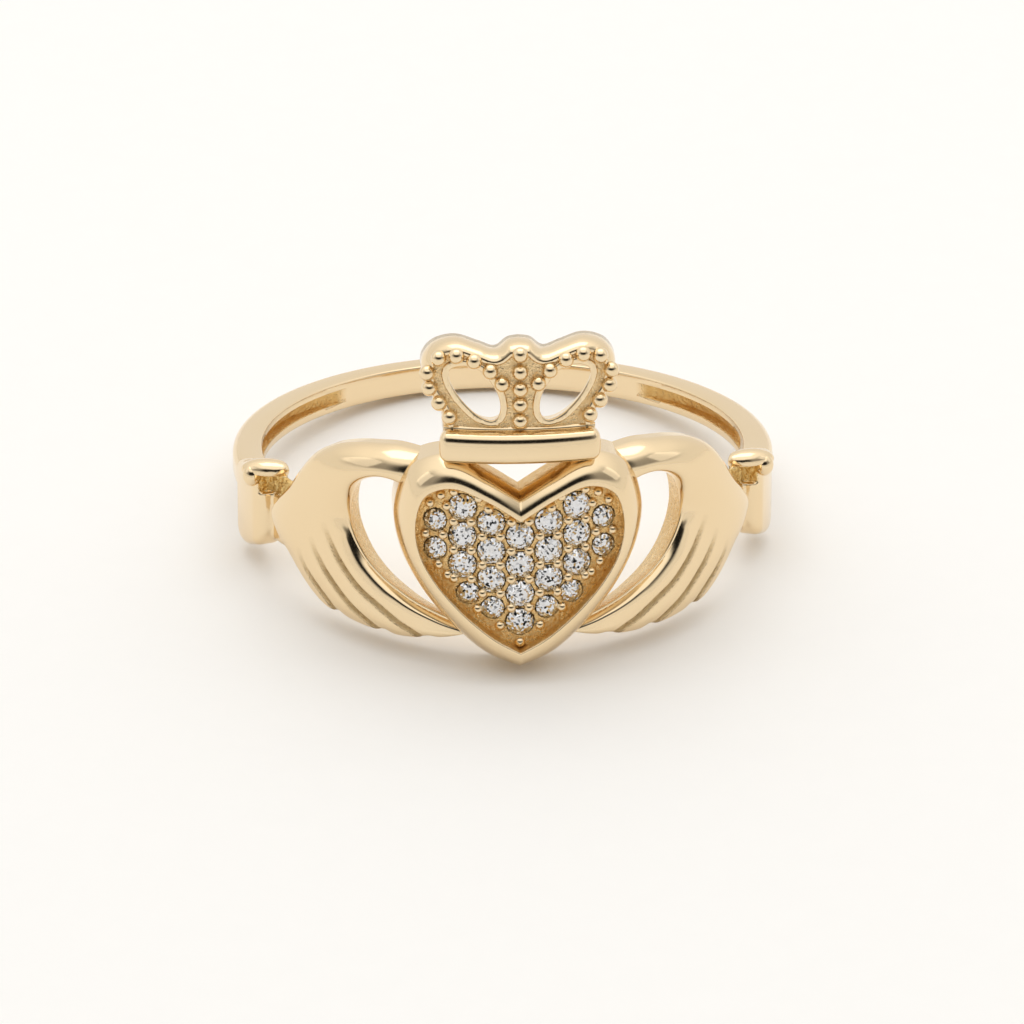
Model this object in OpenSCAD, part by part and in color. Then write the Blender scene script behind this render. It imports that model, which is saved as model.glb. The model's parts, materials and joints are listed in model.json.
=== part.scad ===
// Claddagh ring: two cuffed hands hold a crowned heart that is paved with small round stones.
// The metal is one casting. Each stone is a piece of its own in its seat.
// Lengths are millimetres. The ring is built round its own axis, with the heart towards -Y,
// and is then leaned back until the heart's tip and the back of the band stand on Z = 0.

/* [Finger hole] */
// Inner diameter of the ring
hole_d = 17.3; // [15:0.1:21]

/* [Band] */
// Width of the band along the finger
band_w = 1.05; // [0.9:0.05:1.6]
// Thickness of the band
band_t = 1.05; // [0.9:0.05:1.5]
// Rounding of the band's outer edges
band_edge = 0.3; // [0.1:0.05:0.4]
// Width of the two channels that are scooped out of the band's inner face
channel_w = 0.5; // [0.3:0.05:0.6]
// Greatest depth of the channels
channel_depth = 0.4; // [0.2:0.05:0.5]
// Angle from the heart round to the middle of each channel
channel_at = 118; // [112:1:125]

/* [Cuffs] */
// Height of a cuff along the finger
cuff_h = 2.9; // [2.4:0.1:3.6]
// Angle from the heart to the cuff's front edge
cuff_front = 66; // [62:1:70]
// Angle that a cuff takes up round the ring
cuff_sweep = 16; // [12:1:20]
// How far the cuff's middle lies below the band's middle
cuff_drop = 0.5; // [0:0.1:0.8]
// Diameter of the rounded lip across the top of the cuff's front edge
lip_d = 0.52; // [0.4:0.02:0.6]
// How far the lip stands above the cuff
lip_rise = 0.24; // [0.1:0.02:0.3]
// How far the lip's outer end stands out from the cuff's wall
lip_out = 0.24; // [0:0.02:0.3]
// How far the lip's outer end hangs down the cuff's wall
lip_hang = 0.3; // [0.1:0.02:0.5]
// Angle from the cuff's front edge back to the lip's inner end
lip_back = 2.6; // [1:0.2:4]
// Angle from the lip's inner end back to its outer end
lip_slant = 1.5; // [0:0.1:3]
// Thickness of the root that carries a hand in front of its cuff
root_t = 0.65; // [0.5:0.05:0.8]

/* [Hands] */
// Height of a hand along the finger
hand_h = 7.1; // [6:0.1:8]
// Thickness of a hand at its knuckles
hand_t = 1.15; // [1:0.05:1.5]
// Thickness of a hand along its edges
hand_edge_t = 0.95; // [0.8:0.05:1.1]
// Width of a finger
finger_w = 0.92; // [0.8:0.02:1]
// Thickness of a finger
finger_t = 0.72; // [0.6:0.02:0.8]
// How far the fingers rise above the back of the hand
finger_rise = 0.16; // [0.1:0.02:0.3]

/* [Heart] */
// Width of the heart
heart_w = 8.6; // [7.6:0.1:9.6]
// Height of the heart from its tip to its lobes
heart_h = 7.8; // [7:0.1:8.6]
// How far the heart's middle lies below the band's middle
heart_drop = 0.3; // [0:0.05:0.6]
// Thickness of the heart at its rim
heart_t = 2.1; // [1.8:0.05:2.5]
// How far the rim falls away from its inner to its outer edge
rim_fall = 0.85; // [0.4:0.05:1]
// Depth from the rim down to the plate that holds the stones
pave_depth = 0.58; // [0.45:0.02:0.8]

/* [Stones] */
// Bare metal between two stones in a column
stone_space = 0.1; // [0.08:0.01:0.2]
// Diameter of a small stone as a share of a full one
small_share = 0.82; // [0.75:0.01:0.9]
// Gap between a stone and its seat
seat_gap = 0.03; // [0.02:0.01:0.05]
// Diameter of the beads that hold the stones
prong_d = 0.33; // [0.2:0.01:0.36]

/* [Crown] */
// Greatest width of the crown
crown_w = 6.7; // [6:0.1:7.6]
// Height of the crown above its base bar
crown_h = 3.1; // [2.6:0.1:3.6]
// How far the crown's front stands off the finger
crown_t = 1.5; // [1.2:0.05:1.8]
// How far the crown's back stands off the finger
crown_back = 0.3; // [0.1:0.05:0.5]
// Diameter of the beads on the crown
bead_d = 0.54; // [0.36:0.02:0.6]
// Width of the crown's base bar
bar_w = 5.6; // [5:0.1:6.2]
// Height of the base bar
bar_h = 1.1; // [0.9:0.05:1.4]
// Thickness of the base bar
bar_t = 2.05; // [1.8:0.05:2.4]
// Rounding of the bar's front edges
bar_edge = 0.3; // [0.1:0.02:0.4]

/* [Hidden] */
$fn = 48;
hole_r = hole_d / 2;
band_r = hole_r + band_t;
hand_r = hole_r + hand_t;
rim_r = hole_r + heart_t;
pave_r = rim_r - pave_depth;
crown_r = hole_r + crown_t;
bar_r = hole_r + bar_t;
// Solids start this far inside the finger hole, and the hole is cut last
spare = 0.35;
core_r = hole_r - spare;
// The crown's bar stands on the lobes of the heart and takes in their tops
bar_sink = 0.1;
bar_z = heart_h / 2 - heart_drop - bar_sink;
crown_z = bar_z + bar_h;
// Radius of the round cutter that scoops a channel, as a share of the finger hole's radius
scoop_share = 0.69;
// The cutter's section: distance in from its rim and half its width, as shares of the channel's width
scoop_rows = [[0, 0.38], [0.5, 0.56], [5, 0.8]];
// The root's foot and height, as shares of the cuff's height
root_low = 0.12;
root_h = 0.7;
// Outlines seen from the front are drawn out from this share of the finger hole's radius
front_start = 0.7;
shell_sides = 60;
// Angle from the middle of the heart to its side
heart_side = asin(heart_w / 2 / (rim_r - rim_fall));

// Half of the heart from the cleft to the tip, as shares of half its width and of its height
OUTER_X = 0; OUTER_Z = 1; INNER_X = 2; INNER_Z = 3;
heart_rows = [
    [0,     0.34,   0,     0.218],
    [0.25,  0.425,  0.26,  0.31],
    [0.55,  0.5,    0.535, 0.368],
    [0.87,  0.425,  0.75,  0.328],
    [1,     0.24,   0.833, 0.215],
    [0.965, 0.055,  0.82,  0.074],
    [0.815, -0.12,  0.7,   -0.064],
    [0.58,  -0.285, 0.486, -0.205],
    [0.29,  -0.428, 0.226, -0.329],
    [0,     -0.5,   0,     -0.401]
];
// The rim's section from its inner to its outer edge, as shares of its width and of its fall
rim_rows = [[0, 0.06], [0.05, 0], [0.25, 0.02], [0.48, 0.14], [0.7, 0.36], [0.88, 0.66], [1, 1]];

// Stones on one side of the heart: column, first row and last row, small stones at the column's end,
// and how far these move in, as a share of the column spacing
COLUMN = 0; FIRST = 1; LAST = 2; SMALL = 3; MOVED = 4;
stone_columns = [
    [0, 0,   -3,   0, 0],
    [1, 0.5, -2.5, 1, 0.05],
    [2, 1,   -2,   1, 0.19],
    [3, 0.5, -0.5, 2, 0.04]
];
column_step = 0.116 * heart_w;
row_step = 0.135 * heart_h;
row_zero = 0.128 * heart_h - heart_drop;
stone_d = row_step - stone_space;
// Beads along the border of the stones on one side: column and row
border_beads = [
    [0.3, 0.52], [1.09, 0.98], [1.43, 1.35], [2.3, 1.55], [2.55, 1.03], [2.76, 1.4], [3.15, 1.1],
    [2.85, -1.05], [2.53, -1.4], [1.48, -2.55], [0.7, -3.13]
];
prong_side = 0.31;

// Sections across a hand from the thumb round the wrist to the fingers: inner and outer edge,
// each as a share of the way from the heart's side to the cuff and a share of the hand's height
hand_rows = [
    [-0.19,  0.31,   -0.26, 0.44],
    [0,      0.305,  -0.09, 0.485],
    [0.1,    0.325,  0.07,  0.505],
    [0.2,    0.295,  0.22,  0.48],
    [0.27,   0.24,   0.42,  0.41],
    [0.3,    0.17,   0.64,  0.27],
    [0.3,    0.1,    0.86,  0.11],
    [0.28,   0.015,  0.9,   -0.07],
    [0.235,  -0.07,  0.76,  -0.185],
    [0.16,   -0.15,  0.61,  -0.29],
    [0.05,   -0.235, 0.46,  -0.375],
    [-0.09,  -0.315, 0.3,   -0.41],
    [-0.24,  -0.37,  0.08,  -0.43],
    [-0.38,  -0.395, -0.19, -0.43]
];
// Points across the back of a hand, and how flat it is between its edges
hand_points = 7;
hand_flat = 4;
// Each finger's middle line in the same two shares
finger_rows = [
    [[0.36, 0.05], [0.29, -0.055], [0.2, -0.16], [0.09, -0.25], [-0.03, -0.33], [-0.18, -0.395],
     [-0.32, -0.42]],
    [[0.45, -0.04], [0.36, -0.17], [0.25, -0.28], [0.14, -0.365], [0.02, -0.42], [-0.1, -0.45]],
    [[0.53, -0.14], [0.45, -0.25], [0.345, -0.345], [0.23, -0.41], [0.12, -0.435]],
    [[0.61, -0.23], [0.54, -0.31], [0.46, -0.365], [0.375, -0.395]]
];
finger_sides = 8;
// Size of a finger's first two and last two sections, and how far these lie below the rest,
// as shares of the finger's width and thickness
finger_root = [[0.3, 0.28], [0.75, 0.08]];
finger_tip = [[0.88, 0], [0.5, 0.17]];

// Half of the crown's outline above its bar, as shares of half its width and of its height
crown_rows = [
    [0, 1], [0.14, 0.975], [0.29, 0.89], [0.47, 0.935], [0.67, 0.985], [0.87, 0.915], [0.98, 0.77],
    [1, 0.61], [0.96, 0.43], [0.87, 0.27], [0.8, 0.13], [0.78, -0.1]
];
// Outline of the right window in the same shares
window_rows = [
    [0.29, 0.11], [0.21, 0.19], [0.21, 0.35], [0.27, 0.5], [0.4, 0.68], [0.57, 0.74], [0.71, 0.69],
    [0.72, 0.57], [0.62, 0.37], [0.45, 0.18]
];
// Beads on the right half of the crown, then those on its middle line
crown_beads = [
    [0.185, 0.57], [0.305, 0.715], [0.47, 0.83], [0.65, 0.885], [0.83, 0.845], [0.945, 0.665], [0.925, 0.49],
    [0.825, 0.325], [0.72, 0.165]
];
middle_beads = [0.91, 0.705, 0.505, 0.325, 0.135];

// The lean that sets both the back edge of the heart's tip and the back of the band on the table
tip_z = heart_h / 2 + heart_drop;
rest_tilt = atan((tip_z - band_w / 2) / (hole_r + band_r - band_edge));
lift = tip_z * cos(rest_tilt) - hole_r * sin(rest_tilt);
inner_tip_z = heart_rows[len(heart_rows) - 1][INNER_Z] * heart_h - heart_drop;
front_y = -rim_r * cos(rest_tilt) + inner_tip_z * sin(rest_tilt);
back_y = (band_r - band_edge) * cos(rest_tilt) + (band_w / 2 - band_edge) * sin(rest_tilt) + band_edge;

// Point at an angle from the heart's middle line, a radius and a height
function wrap(a, r, z) = [r * sin(a), -r * cos(a), z];
// Point at a radius on the line that runs straight back through x and z
function straight(x, r, z) = [x, -sqrt(r * r - x * x), z];
function hand_angle(share) = heart_side + share * (cuff_front - heart_side);

// A smooth curve through a row of points, in n steps between neighbours
function curve_point(p0, p1, p2, p3, t) =
    p1 + (p2 - p0) * t / 2 + (2 * p0 - 5 * p1 + 4 * p2 - p3) * t * t / 2
    + (3 * p1 - p0 - 3 * p2 + p3) * t * t * t / 2;
function curve(rows, n) = let (last = len(rows) - 1) [
    for (i = [0 : last - 1], k = [0 : n - 1])
        curve_point(rows[max(i - 1, 0)], rows[i], rows[i + 1], rows[min(i + 2, last)], k / n),
    rows[last]
];
function closed_curve(rows, n) = let (m = len(rows)) [
    for (i = [0 : m - 1], k = [0 : n - 1])
        curve_point(rows[(i + m - 1) % m], rows[i], rows[(i + 1) % m], rows[(i + 2) % m], k / n)
];
// The right half of an outline and its mirror image, as one closed outline
function mirrored(rows) = concat(rows, [for (i = [len(rows) - 2 : -1 : 1]) [-rows[i][0], rows[i][1]]]);

// Triangles between rings of m points. A closed run joins its last ring to its first.
function side_faces(rings, m, closed) = [
    for (k = [0 : rings - (closed ? 1 : 2)], i = [0 : m - 1])
        let (a = k * m + i, b = k * m + (i + 1) % m, up = ((k + 1) % rings) * m)
            each [[a, up + i, b], [b, up + i, up + (i + 1) % m]]
];
function flipped(faces) = [for (f = faces) [f[0], f[2], f[1]]];
// Triangles that close an end ring of m points, spread from its corner
function fan(corner, m, start, flip) = [
    for (i = [1 : m - 2])
        let (a = start + (corner + i) % m, b = start + (corner + i + 1) % m)
            [start + corner, flip ? b : a, flip ? a : b]
];

// A wall's section from the finger hole out to a radius, with both outer corners rounded
function wall_section(r, low, high, e) = concat(
    [for (a = [0 : 30 : 90]) [r - e + e * cos(a), high - e + e * sin(a)]],
    [[core_r, high], [core_r, low]],
    [for (a = [270 : 30 : 360]) [r - e + e * cos(a), low + e + e * sin(a)]]
);

// A piece of a ring between two angles from the heart's middle line
module arc_piece(from, to, r, low, high, e) {
    rotate([0, 0, from - 90]) rotate_extrude(angle = to - from) polygon(wall_section(r, low, high, e));
}

// A tube round the finger hole, from an inner to an outer radius
module shell(inner, outer, low, high) {
    translate([0, 0, low]) linear_extrude(height = high - low) difference() {
        circle(r = outer, $fn = shell_sides);
        circle(r = inner, $fn = shell_sides);
    }
}

// An outline seen from the front, drawn out forwards from inside the finger hole
module forward() {
    translate([0, -front_start * hole_r, 0]) rotate([90, 0, 0]) linear_extrude(height = hole_r) children();
}

module turned(a, r, z) {
    translate(wrap(a, r, z)) rotate([90, 0, a]) children();
}

// The band runs round the back from inside one cuff to inside the other
module band() {
    start = cuff_front + cuff_sweep / 2;
    arc_piece(start, 360 - start, band_r, -band_w / 2, band_w / 2, band_edge);
}

// A ring-shaped scoop, set off the ring's axis so that it fades out at both ends
module channel() {
    tool_r = scoop_share * hole_r;
    last = len(scoop_rows) - 1;
    function at(i, side) = [tool_r - scoop_rows[i][0] * channel_w, side * scoop_rows[i][1] * channel_w];
    rotate([0, 0, channel_at - 90]) translate([hole_r + channel_depth - tool_r, 0, 0]) rotate_extrude()
        polygon(concat([for (i = [0 : last]) at(i, 1)], [for (i = [last : -1 : 0]) at(i, -1)]));
}

module cuff() {
    low = -cuff_drop - cuff_h / 2;
    high = -cuff_drop + cuff_h / 2;
    arc_piece(cuff_front, cuff_front + cuff_sweep, band_r, low, high, band_edge);
    // The root carries the hand in front of the cuff
    root_z = low + root_low * cuff_h;
    arc_piece(cuff_front - cuff_sweep, cuff_front + lip_back, hole_r + root_t,
              root_z, root_z + root_h * cuff_h, band_edge);
    lip_z = high + lip_rise - lip_d / 2;
    out_r = band_r + lip_out - lip_d / 2;
    outer = cuff_front + lip_back + lip_slant;
    hull() {
        for (at = [wrap(cuff_front + lip_back, hole_r + lip_d / 4, lip_z), wrap(outer, out_r, lip_z),
                   wrap(outer, out_r, lip_z - lip_hang)])
            translate(at) sphere(d = lip_d, $fn = 10);
    }
}

// The hand without its fingers: sections fan round the crescent from the thumb to the fingertips
module hand_back() {
    rows = curve(hand_rows, 2);
    function edge(u) = pow(abs(2 * u - 1), hand_flat);
    function top(row, i) = let (u = i / (hand_points - 1), p = row * (1 - u), q = row * u)
        wrap(hand_angle(p[0] + q[2]), hand_r - (hand_t - hand_edge_t) * edge(u), hand_h * (p[1] + q[3]));
    points = [for (row = rows) each concat(
        [for (i = [0 : hand_points - 1]) top(row, i)],
        [wrap(hand_angle(row[2]), core_r, hand_h * row[3]), wrap(hand_angle(row[0]), core_r, hand_h * row[1])]
    )];
    m = hand_points + 2;
    end = (len(rows) - 1) * m;
    polyhedron(points, concat(fan(m - 1, m, 0, true), flipped(side_faces(len(rows), m, false)),
                              fan(m - 1, m, end, false)));
}

module finger(line) {
    rows = curve(line, 2);
    last = len(rows) - 1;
    m = finger_sides;
    function at(i) = [hand_angle(rows[i][0]), hand_h * rows[i][1]];
    function along(i) = let (d = at(min(i + 1, last)) - at(max(i - 1, 0)), v = [d[0] * PI / 180 * hand_r, d[1]])
        v / norm(v);
    // A finger swells out of the back of the hand and ends in a rounded tip
    function section(i) = i < 2 ? finger_root[i] : i > last - 2 ? finger_tip[i - last + 1] : [1, 0];
    function middle(i) = hand_r + finger_rise - finger_t * (0.5 + section(i)[1]);
    points = [
        for (i = [0 : last], k = [0 : m - 1])
            let (size = section(i)[0] / 2, t = along(i),
                 c = size * finger_w * cos(360 * k / m), s = size * finger_t * sin(360 * k / m))
                wrap(at(i)[0] - t[1] * c / hand_r * 180 / PI, middle(i) + s, at(i)[1] + t[0] * c)
    ];
    polyhedron(points, concat(fan(0, m, 0, false), side_faces(len(rows), m, false), fan(0, m, last * m, true)));
}

module hand() {
    hand_back();
    for (line = finger_rows) finger(line);
}

function heart_x(share) = share * heart_w / 2;
function heart_z(share) = share * heart_h - heart_drop;
module heart_rim() {
    rows = curve(heart_rows, 2);
    half = len(rows) - 1;
    m = len(rim_rows) + 2;
    function row(i) = i <= half ? rows[i] : rows[2 * half - i];
    function side(i) = i <= half ? 1 : -1;
    function at(i, u, r) = let (p = row(i))
        straight(side(i) * heart_x(p[INNER_X] + (p[OUTER_X] - p[INNER_X]) * u), r,
                 heart_z(p[INNER_Z] + (p[OUTER_Z] - p[INNER_Z]) * u));
    points = [
        for (i = [0 : 2 * half - 1])
            each concat([at(i, 0, core_r)], [for (s = rim_rows) at(i, s[0], rim_r - rim_fall * s[1])],
                        [at(i, 1, core_r)])
    ];
    polyhedron(points, flipped(side_faces(2 * half, m, true)));
}

module pave_plate() {
    middle = mirrored([
        for (row = curve(heart_rows, 2))
            [heart_x(row[OUTER_X] + row[INNER_X]) / 2, heart_z((row[OUTER_Z] + row[INNER_Z]) / 2)]
    ]);
    intersection() {
        forward() polygon(middle);
        shell(hole_r - spare / 2, pave_r, -heart_h, heart_h);
    }
}

// One entry for each stone: angle, height and diameter
stones = [
    for (side = [-1, 1], c = stone_columns)
        if (c[COLUMN] > 0 || side > 0)
            for (row = [c[FIRST] : -1 : c[LAST]])
                let (small = row < c[LAST] + c[SMALL],
                     arc = side * (c[COLUMN] - (small ? c[MOVED] : 0)) * column_step)
                    [arc / pave_r * 180 / PI, row_zero + row * row_step, stone_d * (small ? small_share : 1)]
];
// Two beads between each stone and the next in its column, then the border's beads and the one in the tip
prongs = concat(
    [
        for (side = [-1, 1], c = stone_columns)
            if (c[COLUMN] > 0 || side > 0)
                for (row = [c[FIRST] - 0.5 : -1 : c[LAST]], way = [-1, 1])
                    [side * c[COLUMN] + way * prong_side, row]
    ],
    [for (side = [-1, 1], b = border_beads) [side * b[0], b[1]]],
    [[0, -3.72]]
);

// A bead that stands half out of the metal. Its section is drawn at these angles.
bead_angles = [-90, -25, 40, 90];
module bead(d) {
    rotate_extrude($fn = 10) polygon([for (a = bead_angles) d / 2 * [cos(a), sin(a)]]);
}

module prong_bead(p) {
    turned(p[0] * column_step / pave_r * 180 / PI, pave_r, row_zero + p[1] * row_step) bead(prong_d);
}

// Heights of a stone as shares of its diameter
crown_share = 0.15;
girdle_share = 0.03;
pavilion_share = 0.44;
table_share = 0.56;

// A pit with a cone for the stone's pavilion and a straight wall past its girdle
module seat(s) {
    r = s[2] / 2 + seat_gap;
    wall = -s[2] * girdle_share - seat_gap;
    turned(s[0], pave_r, s[1]) rotate_extrude($fn = 12)
        polygon([[0, wall - s[2] * pavilion_share - seat_gap], [r, wall], [r, prong_d], [0, prong_d]]);
}

module crown_outline() {
    polygon([for (p = mirrored(curve(crown_rows, 2))) [p[0] * crown_w / 2, crown_z + p[1] * crown_h]]);
}

module window() {
    polygon([for (p = closed_curve(window_rows, 2)) [p[0] * crown_w / 2, crown_z + p[1] * crown_h]]);
}

module crown_bead(x, z) {
    turned(asin(x * crown_w / 2 / crown_r), crown_r, crown_z + z * crown_h) bead(bead_d);
}

module crown() {
    intersection() {
        forward() crown_outline();
        shell(hole_r + crown_back, crown_r, 0, 2 * heart_h);
    }
    half = bar_w / 2 / bar_r * 180 / PI;
    arc_piece(-half, half, bar_r, bar_z, crown_z, bar_edge);
    for (side = [-1, 1], p = crown_beads) crown_bead(side * p[0], p[1]);
    for (z = middle_beads) crown_bead(0, z);
}

module lean_back() {
    translate([0, -(front_y + back_y) / 2, lift]) rotate([-rest_tilt, 0, 0]) children();
}

// The casting before its finger hole is bored. A curve can rise a little past its points, so the
// height is set at the end.
module casting() {
    resize([0, 0, crown_z + crown_h + heart_h / 2 + heart_drop]) difference() {
        union() {
            band();
            for (side = [0, 1]) mirror([side, 0, 0]) {
                cuff();
                hand();
            }
            heart_rim();
            pave_plate();
            crown();
            for (p = prongs) prong_bead(p);
        }
        for (side = [0, 1]) mirror([side, 0, 0]) forward() window();
        for (s = stones) seat(s);
    }
}

module gold_ring() {
    color("goldenrod") lean_back() difference() {
        casting();
        cylinder(r = hole_r, h = 4 * heart_h, center = true);
        for (side = [0, 1]) mirror([side, 0, 0]) channel();
    }
}

// A round stone with a table, 24 crown facets and 16 pavilion facets
module stone(s) {
    r = s[2] / 2;
    n = 8;
    function ring(sides, size, z) =
        [for (i = [0 : sides - 1]) [size * cos(360 * i / sides), size * sin(360 * i / sides), z]];
    points = concat(ring(n, r * table_share, crown_share * s[2]), ring(2 * n, r, 0),
                    ring(2 * n, r, -girdle_share * s[2]),
                    [[0, 0, -(girdle_share + pavilion_share) * s[2]]]);
    upper = n;
    lower = 3 * n;
    tip = 5 * n;
    faces = concat(
        [[for (i = [n - 1 : -1 : 0]) i]],
        [for (i = [0 : n - 1]) each [
            [i, (i + 1) % n, upper + 2 * i + 1],
            [i, upper + 2 * i + 1, upper + 2 * i],
            [(i + 1) % n, upper + (2 * i + 2) % (2 * n), upper + 2 * i + 1]
        ]],
        [for (i = [0 : 2 * n - 1]) let (j = (i + 1) % (2 * n)) each [
            [upper + i, upper + j, lower + j], [upper + i, lower + j, lower + i], [lower + i, lower + j, tip]
        ]]
    );
    color("white") lean_back() turned(s[0], pave_r, s[1]) polyhedron(points, faces);
}

function stone_name(i) = str("stone_", i < 9 ? "0" : "", i + 1);

gold_ring();
for (i = [0 : len(stones) - 1]) stone(stones[i]);
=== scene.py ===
# %% [markdown]
# # A claddagh ring, dressed for a studio picture
#
# The ring is one gold casting with small round stones in its heart. The solids give the sizes and
# carry the checks. This lesson builds the surfaces that the eye sees: smooth gold with soft edges,
# matte recesses, and stones that sparkle. Every piece is modelled round the finger hole's own axis,
# in millimetres, and then placed in one step, because a ring is far easier to build upright.

import json
import math

import bmesh
import bpy
from mathutils import Matrix, Vector
from mathutils.noise import turbulence


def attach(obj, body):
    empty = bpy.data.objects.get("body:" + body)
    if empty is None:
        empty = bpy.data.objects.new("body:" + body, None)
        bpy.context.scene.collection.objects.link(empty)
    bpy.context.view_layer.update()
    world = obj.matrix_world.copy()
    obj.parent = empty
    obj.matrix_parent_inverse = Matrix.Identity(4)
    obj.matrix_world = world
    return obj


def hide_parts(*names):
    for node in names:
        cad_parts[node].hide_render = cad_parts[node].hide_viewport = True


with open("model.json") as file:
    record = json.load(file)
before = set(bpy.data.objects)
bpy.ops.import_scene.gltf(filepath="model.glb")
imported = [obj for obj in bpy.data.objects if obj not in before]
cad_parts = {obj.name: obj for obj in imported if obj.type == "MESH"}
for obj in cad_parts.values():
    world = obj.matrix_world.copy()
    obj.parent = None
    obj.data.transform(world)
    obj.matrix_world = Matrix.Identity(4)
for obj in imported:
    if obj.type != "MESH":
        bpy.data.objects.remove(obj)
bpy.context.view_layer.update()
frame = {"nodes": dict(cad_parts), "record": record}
record = frame["record"]
hole = record["mounts"][0]


# %% [markdown]
# ## Where the ring lies
#
# The ring rests on the heart's tip and on the back of its band, so it leans back. The finger hole's
# mount gives that lean: its axis and its middle. One matrix then turns upright millimetres into the
# frame's metres. Keeping it in one place means that no piece has to know about the lean.

# %% Place the finger hole
HOLE_R = hole["dims"]["r_mm"]
# The backs of the pieces stay this little outside of the hole
BACK_R = HOLE_R + 0.005
axis = Vector(hole["axis"])
lean = math.atan2(axis.y, axis.z)
place = Matrix.Translation(Vector(hole["pos_m"])) @ Matrix.Rotation(-lean, 4, "X") @ Matrix.Scale(0.001, 4)
print("the ring leans back by", round(math.degrees(lean), 2), "degrees")


def around(angle, radius, height):
    """A point at an angle from the heart's middle line, in degrees."""
    a = math.radians(angle)
    return Vector((radius * math.sin(a), -radius * math.cos(a), height))


def turn_and_radius(point):
    """A point's angle from the heart's middle line, in degrees, and its distance from the axis."""
    return math.degrees(math.atan2(point.x, -point.y)), math.hypot(point.x, point.y)


def in_front(x, radius, height):
    """A point straight in front of x, at a radius from the finger's axis."""
    return Vector((x, -math.sqrt(radius * radius - x * x), height))


# %% [markdown]
# ## Smooth curves from short tables
#
# A jeweller draws an outline through a few points. The same is done here: each outline is a
# short table, and a Catmull-Rom curve runs through its rows. It passes exactly through every row,
# which makes a table easy to correct against a picture.


# %% Curves through tables
def along(rows, share, closed=False):
    """The smooth curve through a table's rows, at a share of its way from 0 to 1."""
    count = len(rows)
    spans = count if closed else count - 1
    at = min(max(share, 0.0), 1.0) * spans
    i = min(int(at), spans - 1)
    t = at - i
    near = (i - 1, i, i + 1, i + 2)
    a, b, c, d = (rows[k % count] if closed else rows[min(max(k, 0), count - 1)] for k in near)
    return [
        q + (r - p) * t / 2 + (2 * p - 5 * q + 4 * r - s) * t * t / 2 + (3 * q - p - 3 * r + s) * t**3 / 2
        for p, q, r, s in zip(a, b, c, d)
    ]


def soft_step(low, high, value):
    """Eases from 0 at low to 1 at high. low may be the greater one."""
    t = min(max((value - low) / (high - low), 0.0), 1.0)
    return t * t * (3 - 2 * t)


def line_distance(point, line):
    """How far a point lies from a line of points, all as millimetres on the flat."""
    best = 1e9
    for (ax, ay), (bx, by) in zip(line, line[1:]):
        dx, dy = bx - ax, by - ay
        t = min(max(((point[0] - ax) * dx + (point[1] - ay) * dy) / (dx * dx + dy * dy), 0.0), 1.0)
        best = min(best, math.hypot(point[0] - ax - t * dx, point[1] - ay - t * dy))
    return best


# %% [markdown]
# ## Gold
#
# Polished 14 karat gold is a mirror with a warm tint, so the shader is all metal with a low
# roughness. A perfect mirror looks like plastic film in a render. Real polish leaves faint waves and
# fine wheel marks, so two noises of very different size move the roughness and the surface a little.
# The metal in the recesses was never reached by the polishing wheel. It keeps the grain of the
# casting and scatters the light. Its deeper colour is painted shade of the recesses.


# %% Shader helpers
def new_material(name):
    material = bpy.data.materials.new(name)
    material.use_nodes = True
    nodes, links = material.node_tree.nodes, material.node_tree.links
    shader = nodes["Principled BSDF"]
    where = nodes.new("ShaderNodeTexCoord")
    return material, nodes, links, shader, where.outputs["Object"]


def noise(nodes, links, where, scale, detail):
    texture = nodes.new("ShaderNodeTexNoise")
    texture.inputs["Scale"].default_value = scale
    texture.inputs["Detail"].default_value = detail
    links.new(where, texture.inputs["Vector"])
    return texture.outputs["Fac"]


def ramp(nodes, links, value, low, high, first=0.3, last=0.7, kind="LINEAR"):
    """Maps first to low and last to high. Most of a noise lies between 0.3 and 0.7."""
    node = nodes.new("ShaderNodeMapRange")
    node.interpolation_type = kind
    for name, number in (("From Min", first), ("From Max", last), ("To Min", low), ("To Max", high)):
        node.inputs[name].default_value = number
    links.new(value, node.inputs["Value"])
    return node.outputs["Result"]


def blend_colour(nodes, links, value, first, second):
    node = nodes.new("ShaderNodeMix")
    node.data_type = "RGBA"
    node.inputs["A"].default_value = (*first, 1)
    node.inputs["B"].default_value = (*second, 1)
    links.new(value, node.inputs["Factor"])
    return node.outputs["Result"]


def bump(nodes, links, height, strength, distance, before=None):
    node = nodes.new("ShaderNodeBump")
    node.inputs["Strength"].default_value = strength
    node.inputs["Distance"].default_value = distance
    links.new(height, node.inputs["Height"])
    if before is not None:
        links.new(before, node.inputs["Normal"])
    return node.outputs["Normal"]


NUMBERS, VECTORS = "ShaderNodeMath", "ShaderNodeVectorMath"


def reckon(nodes, links, kind, operation, *values):
    """A node that reckons with numbers or vectors. Each value is another node's socket or plain."""
    node = nodes.new(kind)
    node.operation = operation
    for socket, value in zip(node.inputs, values):
        if isinstance(value, bpy.types.NodeSocket):
            links.new(value, socket)
        else:
            socket.default_value = value
    return node


# %% Polished gold
GOLD = (0.87, 0.70, 0.46)
GOLD_DEEP = (0.85, 0.66, 0.41)
# The next two colours are the cast gold's tint, darkened with painted shade for the recesses
CAST_AND_SHADE = (0.90, 0.64, 0.28)
CAST_AND_SHADE_DEEP = (0.72, 0.44, 0.15)


def polish(nodes, links, where):
    """Colour, roughness and normal where the wheel has reached."""
    waves = noise(nodes, links, where, 260, 1.0)
    marks = noise(nodes, links, where, 9000, 3.0)
    colour = blend_colour(nodes, links, waves, GOLD, GOLD_DEEP)
    return colour, ramp(nodes, links, marks, 0.10, 0.17), bump(nodes, links, waves, 0.25, 0.0001)


def make_polished():
    material, nodes, links, shader, where = new_material("polished_gold")
    shader.inputs["Metallic"].default_value = 1.0
    for name, made in zip(("Base Color", "Roughness", "Normal"), polish(nodes, links, where)):
        links.new(made, shader.inputs[name])
    return material


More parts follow.
